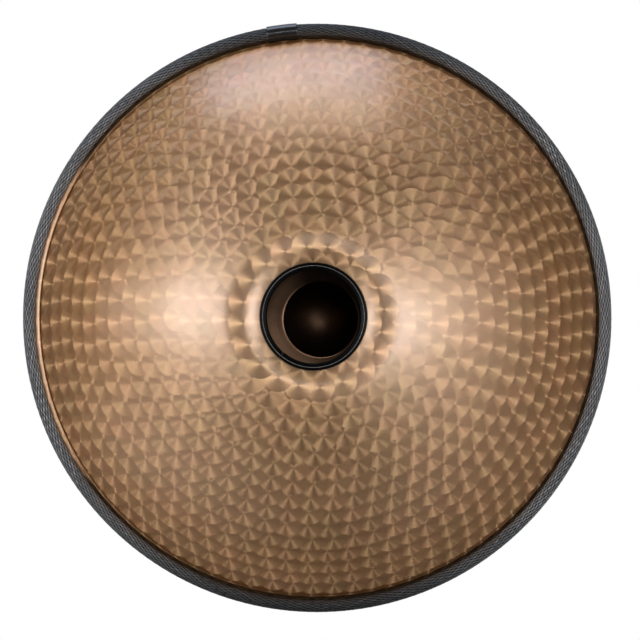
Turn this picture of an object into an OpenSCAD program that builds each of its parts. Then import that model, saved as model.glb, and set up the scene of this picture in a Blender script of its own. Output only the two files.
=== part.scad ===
// Handpan: a lens-shaped steel percussion instrument.
// Two drawn steel shells (the ding shell above, the port shell below) are
// bonded flange to flange. A cord-covered rubber channel closes the rim and a
// short heat-shrunk sleeve hides where its two ends meet. A rubber trim closes
// the cut edge of the port.
// Origin: on the instrument's axis, in the plane of the port crest that it
// rests on. +Z points up through the ding. The rim sleeve is near +Y.
// Name endings: _d diameter, _r radius, _t thickness, _h height, _a angle,
// _az direction about the axis, _c distance of a centre from the axis.

/* [Overall] */
// Outside diameter over the rim covering
overall_d = 560; // [540:1:580]
// Outside radius of both domes
dome_r = 370.5; // [362:0.5:380]
// Thickness of the shell sheet
sheet_t = 1.2; // [1:0.1:1.4]
// Radius of the bend between a dome and its flange
bend_r = 5.8; // [4:0.1:6.5]
// Thickness of the adhesive between the two flanges
bond_t = 0.5; // [0.3:0.1:0.8]

/* [Port neck] */
// Radius of the crest that the instrument rests on
crest_r = 66; // [64:0.5:68]
// Width of the flat along the crest
crest_flat = 3; // [2:0.5:4]
// Radius of the roll from the dome to the crest
crest_roll = 64.7; // [60:0.1:72]
// Radius of the roll from the crest into the port
neck_roll = 37.9; // [36:0.1:42]
// Radius of the port hole in the sheet
port_r = 43.4; // [42.5:0.1:46]

/* [Port trim] */
// Thickness of the trim's legs and nose
trim_t = 1.6; // [1.4:0.1:1.8]
// Length of the trim's legs along the sheet
trim_leg = 5; // [4.5:0.1:6.5]
// Direction of the trim's butt joint, about the axis
trim_joint_az = 310; // [290:1:330]

/* [Rim covering] */
// Diameter of the covered rim cord
cord_d = 13; // [12.6:0.1:14]
// Thickness of the braided cover
braid_t = 1; // [0.8:0.1:1.2]
// Gap between the two cord ends under the sleeve
cord_gap = 0.8; // [0.4:0.1:1.5]
// Direction of the sleeve, about the axis
sleeve_az = 83; // [70:1:110]
// Length of the sleeve along the rim
sleeve_len = 30; // [24:1:40]
// Wall of the sleeve
sleeve_t = 1.2; // [1:0.1:1.6]

/* [Ding] */
// Diameter of the ding's raised centre
ding_d = 75; // [68:1:80]
// Height of the raised centre above its foot
ding_h = 11; // [9:0.5:13]
// Diameter of the flattened field around it
ding_field_d = 184; // [176:1:190]
// How far that field sits below the dome
ding_field_drop = 6.5; // [5:0.1:7.5]

/* [Tone fields] */
// Number of fields round the ding
field_count = 8; // [6:2:8]
// Length of the lowest note's field
field_long_max = 135; // [125:1:136]
// Length of the highest note's field
field_long_min = 100; // [90:1:104]
// Width of a field as a share of its length
field_ratio = 0.82; // [0.8:0.01:0.84]
// Distance of the field centres from the axis
field_ring_r = 175; // [172:1:178]
// How flat a field is across its width
field_flatness = 0.8; // [0.79:0.01:0.86]
// Length of a dimple as a share of its field
dimple_share = 0.385; // [0.35:0.005:0.42]
// Width of a dimple as a share of its length
dimple_ratio = 0.7; // [0.66:0.01:0.7]
// Depth of a dimple as a share of its length
dimple_depth = 0.075; // [0.07:0.001:0.085]

/* [Hidden] */
$fn = 256;
lap = 0.001;                              // overlap that joins touching parts

// Rim stack, measured from the axis and from the resting plane
cord_r = cord_d / 2;
cord_c = overall_d / 2 - cord_r;
flange_r = overall_d / 2 - 5.4;           // outer edge of both flanges
bend_c = overall_d / 2 - 12.5;
dome_drop = sqrt(pow(dome_r + bend_r, 2) - pow(bend_c, 2))
    - bend_r - sheet_t;                   // dome's centre to its bonded face
roll_c = crest_r + crest_flat / 2;        // crest roll
dome_z = crest_roll                       // centre of the lower dome
    + sqrt(pow(dome_r - crest_roll, 2) - pow(roll_c, 2));
face_z = dome_z - dome_drop;              // bonded face of the lower flange
mid_z = face_z + bond_t / 2;              // middle of the bond
bond_inner_inset = 1;                     // bond's edge from the flange bend
bond_outer_inset = 0.6;                   // bond's edge from the flange edge
roll_a = asin(roll_c / (dome_r - crest_roll));     // where roll meets dome
bend_a = asin(bend_c / (dome_r + bend_r));         // where dome meets bend

// Rim channel and the U-shaped clip inside it, both open towards the axis
slot_h = 2 * sheet_t + bond_t + 0.1;      // slot that grips the flanges
slot_end = flange_r + 0.4;
clip_t = 0.5;
clip_off = slot_h / 2 + 0.9;              // clip's inner face from mid plane
clip_inner_r = cord_c - 4;
clip_outer_r = slot_end + 1.6;
clip_setback = 3;                         // clip's ends behind the cord's
sleeve_slit_half = 3;                     // radial half extent of the slit
sleeve_slit_margin = 0.6;                 // slit beyond the slot, each side

// Port neck and trim
neck_axis = [crest_r - crest_flat / 2, neck_roll];
edge_a = asin((neck_axis.x - port_r) / neck_roll); // where the sheet ends
leg_a = trim_leg / neck_roll * 180 / PI;
leg_end_a = edge_a - leg_a;
// Point on the neck's section, at an angle from straight down to the axis
function neck_point(radius, angle) =
    neck_axis + radius * [-sin(angle), -cos(angle)];
edge_point = neck_point(neck_roll - sheet_t / 2, edge_a); // mid sheet
trim_joint_gap = 0.6;
trim_clip_t = 0.4;
trim_clip_gap = 3;
trim_clip_share = 0.8;                    // clip's legs as a share of the trim's

// Tone fields: lengths fall by equal ratios, the longest nearest to -Y
function field_long(i) = field_long_max
    * pow(field_long_min / field_long_max, i / (field_count - 1));
function side_sum(side, count) = count <= 0 ? 0
    : field_long(side + 2 * (count - 1)) + side_sum(side, count - 1);
// Even fields (side 0) run up the -X side and odd fields up the +X side, each
// taking a share of the half turn in proportion to its length
function field_az(i) =
    let (
        side = i % 2,
        before = side_sum(side, floor(i / 2)),
        total = side_sum(side, field_count / 2),
        turn = 180 * (before + field_long(i) / 2) / total
    )
    side == 0 ? -90 - turn : -90 + turn;
curve = 1 / dome_r;
// Radii of curvature along a field's length and across its width
along_r = 1 / (curve * (1 - field_flatness * pow(field_ratio, 2)));
across_r = 1 / (curve * (1 - field_flatness));
function field_drop(i) = field_flatness * curve
    * pow(field_ratio * field_long(i) / 2, 2) / 2;

// Ding
ding_field_r = 1 / (curve - 2 * ding_field_drop / pow(ding_field_d / 2, 2));
ding_ball_r = (pow(ding_d / 2, 2) + ding_h * ding_h) / (2 * ding_h);
ding_foot_drop = 0.8;                     // ding's foot below its field's top
ding_top = dome_r - ding_field_drop + ding_h - ding_foot_drop;
ding_root = 6;                            // ball kept below the foot
ding_cut_h = 40;                          // clears the top of the ball
crop_r = 500;                             // clears the dome

// A ring sector between two radii and two angles (below 180 apart). Its
// ends run on by a hair, so that sectors in a chain join as one
module band(centre, inner_r, outer_r, start_a, end_a) {
    far = outer_r * 2;
    hair = 2 * lap / outer_r * 180 / PI;
    mid_a = (start_a + end_a) / 2;
    translate(centre) intersection() {
        difference() {
            circle(outer_r);
            circle(inner_r);
        }
        polygon([[0, 0],
            far * [cos(start_a - hair), sin(start_a - hair)],
            far * [cos(mid_a), sin(mid_a)],
            far * [cos(end_a + hair), sin(end_a + hair)]]);
    }
}

module torus(major_r, minor_r) {
    rotate_extrude() translate([major_r, 0]) circle(minor_r);
}

// A block across a ring, to part it at one direction
module joint_cut(az, inner_r, width, low_z, height) {
    rotate([0, 0, az]) translate([inner_r, -width / 2, low_z])
        cube([40, width, height]);
}

// Section of the bend and flange, about a dome's centre of curvature: up is 1
// for the upper shell and -1 for the lower
module rim_sheet(up) {
    bend_axis = (dome_r + bend_r) * [sin(bend_a), up * cos(bend_a)];
    start_a = up > 0 ? -90 - bend_a : 90;
    band(bend_axis, bend_r, bend_r + sheet_t, start_a, start_a + bend_a);
    translate([bend_c - lap, up > 0 ? dome_drop : -dome_drop - sheet_t])
        square([flange_r - bend_c + lap, sheet_t]);
}

// Turned to a field: local +Z is its normal and its length lies along local Y
module at_field(i) {
    rotate([0, 0, field_az(i)])
        rotate([0, asin(field_ring_r / dome_r), 0]) children();
}

// What a field's slow curve encloses
module flat_field(i, inset) {
    at_field(i) translate([0, 0, dome_r - field_drop(i) - across_r])
        rotate([90, 0, 0]) torus(across_r - along_r, along_r - inset);
}

// What a dimple takes out of its field
module dimple(i, inset) {
    half_long = field_long(i) * dimple_share / 2;
    half_wide = half_long * dimple_ratio;
    depth = 2 * half_long * dimple_depth;
    long_r = 1 / (2 * depth / pow(half_long, 2) - 1 / along_r);
    wide_r = 1 / (2 * depth / pow(half_wide, 2) - 1 / across_r);
    at_field(i) translate([0, 0, dome_r - field_drop(i) - depth + long_r])
        rotate([0, 90, 0]) torus(long_r - wide_r, wide_r + inset, $fn = 128);
}

// The dome with the ding's field and the first count tone fields flattened,
// about its centre of curvature: inset is 0 for the sheet's outside and
// sheet_t for its inside
module fields_form(count, inset) {
    if (count == 0) intersection() {
        sphere(dome_r - inset);
        translate([0, 0, dome_r - ding_field_drop - ding_field_r])
            sphere(ding_field_r - inset);
    }
    else intersection() {
        fields_form(count - 1, inset);
        flat_field(count - 1, inset);
    }
}

// The whole upper form, with dimples and the ding's raised centre
module ding_form(inset) {
    difference() {
        fields_form(field_count, inset);
        for (i = [0 : field_count - 1]) dimple(i, inset);
    }
    translate([0, 0, ding_top - ding_ball_r]) intersection() {
        sphere(ding_ball_r - inset, $fn = 144);
        translate([0, 0, ding_ball_r - ding_h - ding_root])
            cylinder(r = ding_ball_r, h = ding_cut_h);
    }
}

module cord_disc(radius) {
    translate([cord_c, mid_z]) circle(radius, $fn = 96);
}

// Cord section, less the slot for the flanges
module cord_section(radius) {
    slot_start = cord_c - radius - 1;
    difference() {
        cord_disc(radius);
        translate([slot_start, mid_z - slot_h / 2])
            square([slot_end - slot_start, slot_h]);
    }
}

module clip_section() {
    for (leg_z = [-clip_off - clip_t, clip_off])
        translate([clip_inner_r, mid_z + leg_z])
            square([clip_outer_r - clip_inner_r, clip_t]);
    translate([clip_outer_r - clip_t, mid_z - clip_off - clip_t])
        square([clip_t, 2 * (clip_off + clip_t)]);
}

// What is cut away where the two ends of the cord meet
module end_gap(width) {
    joint_cut(sleeve_az, cord_c - 20, width, mid_z - 20, 40);
}

module trim_joint(width) {
    joint_cut(trim_joint_az, 30, width, -10, 30);
}

// Clip in the middle of the trim's wall: a leg on each face of the sheet and
// a half ring, in two quarters, round its edge
module trim_clip_section() {
    clip_in = (trim_t - trim_clip_t) / 2;
    nose_r = sheet_t / 2 + clip_in;
    for (leg_r = [neck_roll + clip_in,
            neck_roll - sheet_t - clip_in - trim_clip_t])
        band(neck_axis, leg_r, leg_r + trim_clip_t,
            -90 - edge_a, -90 - edge_a + leg_a * trim_clip_share);
    for (start_a = [90, 180])
        band(edge_point, nose_r, nose_r + trim_clip_t,
            start_a - edge_a, start_a + 90 - edge_a);
}

// Upper shell: ding, its field, and the ring of dimpled tone fields
module ding_shell() {
    color("peru") translate([0, 0, face_z + bond_t - dome_drop]) {
        intersection() {
            difference() {
                ding_form(0);
                ding_form(sheet_t);
            }
            rotate_extrude() polygon([[0, 0],
                crop_r * [sin(bend_a), cos(bend_a)], [0, crop_r]]);
        }
        rotate_extrude() rim_sheet(1);
    }
}

// Lower shell: plain dome, crest and rolled port neck
module gu_shell() {
    color("peru") rotate_extrude() {
        band([0, dome_z], dome_r - sheet_t, dome_r, -90 + roll_a, -90 + bend_a);
        translate([0, dome_z]) rim_sheet(-1);
        band([roll_c, crest_roll], crest_roll - sheet_t, crest_roll,
            -90, -90 + roll_a);
        translate([neck_axis.x - lap, 0]) square([crest_flat + 2 * lap, sheet_t]);
        band(neck_axis, neck_roll - sheet_t, neck_roll, -90 - edge_a, -90);
    }
}

// Adhesive between the flanges
module flange_bond() {
    inner_r = bend_c + bond_inner_inset;
    color("darkslategray") rotate_extrude() translate([inner_r, face_z])
        square([flange_r - bond_outer_inset - inner_r, bond_t]);
}

// Rubber channel that grips both flanges
module rim_core() {
    color("dimgray") difference() {
        rotate_extrude() difference() {
            cord_section(cord_r - braid_t);
            clip_section();
        }
        end_gap(cord_gap);
    }
}

// Steel band inside the channel, which keeps its grip
module rim_clip_band() {
    color("silver") difference() {
        rotate_extrude() clip_section();
        end_gap(cord_gap + 2 * clip_setback);
    }
}

// Braided cover round the channel
module rim_braid() {
    color([0.16, 0.16, 0.17]) difference() {
        rotate_extrude() difference() {
            cord_section(cord_r);
            cord_disc(cord_r - braid_t);
        }
        end_gap(cord_gap);
    }
}

// Heat-shrunk sleeve over the cord's two ends, slit along the flange side
module rim_join_sleeve() {
    sleeve_a = sleeve_len / cord_c * 180 / PI;
    slit_h = slot_h + 2 * sleeve_slit_margin;
    color([0.06, 0.06, 0.07]) rotate([0, 0, sleeve_az - sleeve_a / 2])
        rotate_extrude(angle = sleeve_a) difference() {
            cord_section(cord_r + sleeve_t);
            cord_disc(cord_r);
            translate([cord_c - cord_r - sleeve_slit_half, mid_z - slit_h / 2])
                square([2 * sleeve_slit_half, slit_h]);
        }
}

// Rubber channel over the cut edge of the port
module port_trim() {
    color([0.09, 0.09, 0.1]) difference() {
        rotate_extrude() difference() {
            union() {
                band(neck_axis, neck_roll - sheet_t - trim_t,
                    neck_roll + trim_t, -90 - edge_a, -90 - leg_end_a);
                translate(edge_point) circle(sheet_t / 2 + trim_t, $fn = 96);
                // rounded ends of the legs
                for (leg_r = [neck_roll + trim_t / 2,
                        neck_roll - sheet_t - trim_t / 2])
                    translate(neck_point(leg_r, leg_end_a))
                        circle(trim_t / 2, $fn = 96);
            }
            // slot for the sheet, from just past its edge to beyond the legs
            band(neck_axis, neck_roll - sheet_t, neck_roll,
                -90 - edge_a - 0.5, -80);
            trim_clip_section();
        }
        trim_joint(trim_joint_gap);
    }
}

// Wire-thin steel channel inside the port trim
module port_trim_clip() {
    color("silver") difference() {
        rotate_extrude() trim_clip_section();
        trim_joint(trim_clip_gap);
    }
}

ding_shell();
gu_shell();
flange_bond();
rim_core();
rim_clip_band();
rim_braid();
rim_join_sleeve();
port_trim();
port_trim_clip();
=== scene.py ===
# A handpan: two domed steel shells joined at their flanges, with a braided cord round
# the rim. Its axis is +Z. The lower (gu) shell has the port, whose rolled crest is at
# z = 0; the upper (ding) shell has eight tone fields round a raised centre note.
import math

import bpy
import numpy as np
from mathutils import Matrix, Vector


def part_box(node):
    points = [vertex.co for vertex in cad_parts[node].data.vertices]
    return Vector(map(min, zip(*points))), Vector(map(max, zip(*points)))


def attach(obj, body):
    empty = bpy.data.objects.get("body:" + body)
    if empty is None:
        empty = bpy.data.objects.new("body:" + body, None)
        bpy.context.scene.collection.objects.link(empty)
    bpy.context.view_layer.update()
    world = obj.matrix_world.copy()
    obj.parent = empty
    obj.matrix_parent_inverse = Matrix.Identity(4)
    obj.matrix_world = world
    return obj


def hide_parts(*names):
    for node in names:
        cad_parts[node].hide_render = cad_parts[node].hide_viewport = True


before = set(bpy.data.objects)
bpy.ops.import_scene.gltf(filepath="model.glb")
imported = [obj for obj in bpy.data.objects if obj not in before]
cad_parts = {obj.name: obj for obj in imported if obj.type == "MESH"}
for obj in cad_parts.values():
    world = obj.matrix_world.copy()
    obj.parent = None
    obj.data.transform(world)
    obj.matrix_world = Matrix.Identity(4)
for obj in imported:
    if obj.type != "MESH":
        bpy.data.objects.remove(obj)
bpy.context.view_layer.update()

MM = 0.001
TURN = 2 * math.pi

# ------------------------------------------------------------------ dimensions
# Millimetres and radians. A section is drawn in (radius, z). _C is the radius at which
# the centre of a section's arc lies, and _A is an angle from the axis.
gu_low, gu_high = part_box("gu_shell")
ding_low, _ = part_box("ding_shell")
braid_low, braid_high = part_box("rim_braid")
DOME_R = 370.5                  # outside of both domes
SHEET = 1.2
BEND_R = 5.8                    # outside of the bend between dome and flange
CREST_R, CREST_C = 64.7, 67.5   # roll from the lower dome to the crest
NECK_R, NECK_C = 37.9, 64.5     # roll from the crest into the port
PORT_R = 43.4
FLANGE_R = (gu_high.x - gu_low.x) / 2 / MM
CORD_R = (braid_high.z - braid_low.z) / 2 / MM
CORD_C = braid_high.x / MM - CORD_R
MID_Z = (braid_high.z + braid_low.z) / 2 / MM
BEND_C = CORD_C + CORD_R - 12.5
DOME_Z = CREST_R + math.sqrt((DOME_R - CREST_R) ** 2 - CREST_C ** 2)   # lower centre
DROP = math.sqrt((DOME_R + BEND_R) ** 2 - BEND_C ** 2) - BEND_R - SHEET
FACE_Z = DOME_Z - DROP                  # where the flanges meet
TOP_Z = ding_low.z / MM - DROP          # centre of curvature of the upper dome
CREST_A = math.asin(CREST_C / (DOME_R - CREST_R))
BEND_A = math.asin(BEND_C / (DOME_R + BEND_R))
EDGE_A = math.asin((NECK_C - PORT_R) / NECK_R)
TRIM = 1.6                      # thickness of the port trim
RIDGE_R = 45.15                 # radius of the ridge on the trim's outside leg
TRIM_LEG_A = 5.0 / NECK_R
SLEEVE_AZ = math.radians(83)
TRIM_JOINT_AZ = math.radians(310)
SHELL_SEGMENTS = 480


# ------------------------------------------------------------------- mesh help
def make(name, verts, faces, sharp, materials, face_material=None):
    """A smooth mesh from millimetres, with edges over sharp degrees kept sharp."""
    mesh = bpy.data.meshes.new(name)
    mesh.from_pydata([tuple(v) for v in np.asarray(verts) * MM], [],
                     [tuple(int(i) for i in f) for f in faces])
    mesh.validate()
    ob = bpy.data.objects.new(name, mesh)
    bpy.context.scene.collection.objects.link(ob)
    for material in materials:
        mesh.materials.append(material)
    if face_material is not None:
        mesh.polygons.foreach_set("material_index", np.asarray(face_material, np.int32))
    mesh.shade_smooth()
    mesh.set_sharp_from_angle(angle=math.radians(sharp))
    mesh.update()
    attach(ob, "root")
    return ob


def grid_faces(rows, columns, wrap_rows=True, wrap_columns=True, flip=False):
    """Quads over a grid of vertices stored row by row."""
    row = np.arange(rows if wrap_rows else rows - 1)
    column = np.arange(columns if wrap_columns else columns - 1)
    row, column = np.meshgrid(row, column, indexing="ij")
    next_row, next_column = (row + 1) % rows, (column + 1) % columns
    quads = np.stack([row * columns + column, next_row * columns + column,
                      next_row * columns + next_column, row * columns + next_column], -1)
    quads = quads.reshape(-1, 4)
    return quads[:, ::-1] if flip else quads


def polar(centre, radius, angle):
    """Points of a section at angles in radians, 0 outwards and pi/2 up."""
    return np.stack([centre[0] + radius * np.cos(angle),
                     centre[1] + radius * np.sin(angle)], -1)


def arc(centre, radius, start, end, count, first=True, last=True):
    """Section arc in degrees, with or without its first and last point."""
    points = polar(centre, radius, np.radians(np.linspace(start, end, count)))
    return points[(0 if first else 1):(count if last else count - 1)]


def spin(radius, z, around):
    """Points at a radius and height, at an angle round the axis."""
    return np.stack(np.broadcast_arrays(radius * np.cos(around),
                                        radius * np.sin(around), z), -1)


def revolve(section):
    around = TURN * np.arange(SHELL_SEGMENTS)[:, None] / SHELL_SEGMENTS
    return spin(section[None, :, 0], section[None, :, 1], around)


def cord_surface(tube_radius, tube_angle, around):
    """Points round the rim cord's centre line."""
    return spin(CORD_C + tube_radius * np.cos(tube_angle),
                MID_Z + tube_radius * np.sin(tube_angle), around)


def smoothstep(x):
    x = np.clip(x, 0, 1)
    return x * x * (3 - 2 * x)


def waves(around, radius, seed, size):
    """A slow, smooth unevenness over a disc, as drawn and hammered sheet has."""
    random = np.random.default_rng(seed)
    total = np.zeros(np.broadcast(around, radius).shape)
    for lobes, weight in ((3, 1.0), (5, .7), (7, .5), (11, .35)):
        for _ in range(2):
            total = total + weight * np.cos(
                lobes * around + random.uniform(0, 6.28) + radius / random.uniform(40, 90)
            ) * np.cos(radius / random.uniform(18, 46) + random.uniform(0, 6.28))
    return total * size / 3.0


# ------------------------------------------------------------------- node help
class Signal:
    """A node's output. Arithmetic on it adds math nodes."""

    def __init__(self, net, socket):
        self.net = net
        self.socket = socket

    def __add__(self, other):
        return self.net.math("ADD", self, other)

    def __radd__(self, other):
        return self.net.math("ADD", other, self)

    def __sub__(self, other):
        return self.net.math("SUBTRACT", self, other)

    def __rsub__(self, other):
        return self.net.math("SUBTRACT", other, self)

    def __mul__(self, other):
        return self.net.math("MULTIPLY", self, other)

    def __truediv__(self, other):
        return self.net.math("DIVIDE", self, other)

    def swing(self, amount):
        """A 0 to 1 signal moved to lie about zero, amount wide."""
        return (self - 0.5) * amount


class Net:
    """Builds the nodes of a material or world. Every input is a value or a Signal."""

    def __init__(self, owner):
        self.owner = owner
        owner.use_nodes = True
        self.tree = owner.node_tree
        self.tree.nodes.clear()

    def put(self, socket, value):
        if isinstance(value, Signal):
            self.tree.links.new(value.socket, socket)
            return
        if isinstance(value, tuple) and len(value) == 3 and socket.type == "RGBA":
            value = (*value, 1.0)
        socket.default_value = value

    def node(self, kind, inputs=(), **settings):
        """inputs is a sequence in socket order, or a dict by socket name or index."""
        node = self.tree.nodes.new(kind)
        for key, value in settings.items():
            setattr(node, key, value)
        pairs = inputs.items() if isinstance(inputs, dict) else enumerate(inputs)
        for key, value in pairs:
            self.put(node.inputs[key], value)
        return node

    def signal(self, kind, inputs=(), output=0, **settings):
        return Signal(self, self.node(kind, inputs, **settings).outputs[output])

    def math(self, operation, *inputs, **settings):
        return self.signal("ShaderNodeMath", inputs, operation=operation, **settings)

    def hypot(self, a, b):
        return self.math("SQRT", a * a + b * b)

    def vector(self, operation, *inputs):
        return self.signal("ShaderNodeVectorMath", inputs, operation=operation)

    def scale(self, vector, factor):
        return self.signal("ShaderNodeVectorMath", {0: vector, "Scale": factor},
                           operation="SCALE")

    def xyz(self, x, y, z):
        return self.signal("ShaderNodeCombineXYZ", [x, y, z])

    def separate(self, vector):
        outputs = self.node("ShaderNodeSeparateXYZ", [vector]).outputs
        return [Signal(self, socket) for socket in outputs]

    def position(self):
        return self.signal("ShaderNodeTexCoord", output="Object")

    def position_mm(self):
        return self.scale(self.position(), 1000.0)

    def split(self, position):
        """x, y, z and distance from the axis."""
        x, y, z = self.separate(position)
        return x, y, z, self.hypot(x, y)

    def geometry(self, output):
        return self.signal("ShaderNodeNewGeometry", output=output)

    def attribute(self, name, output):
        return self.signal("ShaderNodeAttribute", output=output, attribute_name=name)

    def round_axis(self, x, y):
        """Direction round the axis."""
        return self.vector("NORMALIZE", self.xyz(y * -1.0, x, 0.0))

    def mix(self, factor, first, second, kind="FLOAT", **settings):
        socket, output = {"FLOAT": (2, 0), "VECTOR": (4, 1), "RGBA": (6, 2)}[kind]
        return self.signal("ShaderNodeMix", {0: factor, socket: first, socket + 1: second},
                           output, data_type=kind, **settings)

    def mix_color(self, factor, first, second, blend="MIX"):
        return self.mix(factor, first, second, "RGBA", blend_type=blend,
                        clamp_factor=True)

    def dim(self, color, level):
        return self.mix_color(1.0, color, self.xyz(level, level, level), "MULTIPLY")

    def mix_shader(self, factor, first, second):
        return self.signal("ShaderNodeMixShader", [factor, first, second])

    def ramp(self, value, stops):
        """stops are (position, colour)."""
        node = self.node("ShaderNodeValToRGB", [value])
        ramp = node.color_ramp
        ramp.interpolation = "LINEAR"
        while len(ramp.elements) > 1:
            ramp.elements.remove(ramp.elements[-1])
        for i, (position, color) in enumerate(stops):
            stop = ramp.elements[0] if i == 0 else ramp.elements.new(position)
            stop.position = position
            stop.color = (*color, 1.0)
        return Signal(self, node.outputs[0])

    def noise(self, vector, scale, detail, rough):
        return self.signal("ShaderNodeTexNoise", {
            "Vector": vector, "Scale": scale, "Detail": detail, "Roughness": rough},
            noise_dimensions="3D")

    def noise_line(self, along, detail, rough):
        """Noise over one coordinate."""
        return self.signal("ShaderNodeTexNoise", {
            "W": along, "Scale": 1.0, "Detail": detail, "Roughness": rough},
            noise_dimensions="1D")

    def remap(self, value, over, to=(0.0, 1.0), smooth=False):
        return self.signal("ShaderNodeMapRange", {
            "Value": value, "From Min": over[0], "From Max": over[1],
            "To Min": to[0], "To Max": to[1]},
            interpolation_type="SMOOTHSTEP" if smooth else "LINEAR")

    def white(self, vector, output="Value"):
        return self.signal("ShaderNodeTexWhiteNoise", {"Vector": vector}, output,
                           noise_dimensions="3D")

    def bump(self, height, strength, distance):
        return self.signal("ShaderNodeBump", {
            "Strength": strength, "Distance": distance, "Height": height})

    def principled(self, **inputs):
        return self.signal("ShaderNodeBsdfPrincipled", {
            name.replace("_", " "): value for name, value in inputs.items()})

    def finish(self, shader, kind="ShaderNodeOutputMaterial"):
        self.node(kind, {"Surface": shader})
        return self.owner


def material_net(name):
    return Net(bpy.data.materials.new(name))


# --------------------------------------------------------------- swirled metal
RING_0, RING_PITCH = 63.0, 15.3          # rings of swirls, mm along the dome
SWIRL_PITCH, SWIRL_R = 19.3, 13.4        # swirls in a ring, mm
AROUND_JITTER, ALONG_JITTER = 1.5, 1.3   # mm
RING_TURN = 0.35                         # random turn of a ring, in swirls
# how far each pattern moves the tone, which runs from 0 to 1
TONE = dict(swirl=0.34, fine=0.16, broad=0.08, haze=0.30, blot=0.22, edge=0.0)
COPPER_ROUGH = 0.48
SOFT_SHARE = (0.20, 0.47)                # unbrushed part, from the middle to the rim
FILM_SHARE = 0.19


def find_swirl(net, radius, azimuth, seed):
    """The last swirl that crossed each point: inner rings lie over outer ones, and
    within a ring each swirl lies over the one before. Gives the offset from the
    swirl's middle (along the dome, around the axis, own random) and the distance."""
    along = net.math("ARCSINE", net.math("MINIMUM", radius / DOME_R, 0.999)) * DOME_R
    inner_ring = net.math("FLOOR", (along - RING_0) / RING_PITCH)
    swirl = distance = None
    for outwards in (1, 0):
        ring = inner_ring + outwards
        ring_along = net.math("MULTIPLY_ADD", ring, RING_PITCH, RING_0)
        ring_r = net.math("SINE", ring_along / DOME_R) * DOME_R
        count = net.math("MAXIMUM", net.math("ROUND", ring_r * (TURN / SWIRL_PITCH)), 3.0)
        turned = net.white(net.xyz(ring, seed, 0.5))
        place = azimuth / TURN * count + turned * RING_TURN
        before = net.math("FLOOR", place)
        step = radius * TURN / count
        for onwards in (0, 1):
            number = before + onwards
            own = net.math("FLOORED_MODULO", number, count)
            chance = net.separate(net.white(net.xyz(ring, own, seed + 0.5), "Color"))
            d_around = net.math("MULTIPLY_ADD", chance[0] - 0.5, AROUND_JITTER,
                                (place - number) * step)
            d_along = net.math("MULTIPLY_ADD", chance[1] - 0.5, ALONG_JITTER,
                               along - ring_along)
            d_middle = net.hypot(d_around, d_along)
            offset = net.xyz(d_along, d_around, chance[2])
            if swirl is None:
                swirl, distance = offset, d_middle
            else:
                crossed = net.math("LESS_THAN", d_middle, SWIRL_R)
                swirl = net.mix(crossed, swirl, offset, "VECTOR")
                distance = net.mix(crossed, distance, d_middle)
    return net.separate(swirl), distance


def lower_painted_shade(net, radius, azimuth, haze, blot):
    """Painted shade on the lower shell: darkening in the bend beside the cord,
    narrowed to a thin dark line on the +X side, where light reaches the bend,
    and a painted contact shadow round the foot of the port's trim."""
    # the painted shade in the bend narrows to a thin line on the lit +X side
    turn = net.math("ABSOLUTE", azimuth + haze.swing(0.3))
    flange_lit_side = net.remap(turn, over=(0.42, 0.64), to=(1.0, 0.0), smooth=True)
    line = (net.remap(radius, over=(262.2, 262.9), to=(0.0, 0.78), smooth=True)
            * net.remap(radius, over=(263.5, 264.1), to=(1.0, 0.0), smooth=True))
    full = net.remap(radius, over=(264.2, 265.2), smooth=True)
    foot = (net.remap(radius, over=(47.4, 49.0), to=(0.75, 0.0), smooth=True)
            * net.remap(blot, over=(0.3, 0.7), to=(0.7, 1.1)))
    return net.math("MAXIMUM", net.mix(flange_lit_side, full, line), foot)


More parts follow.
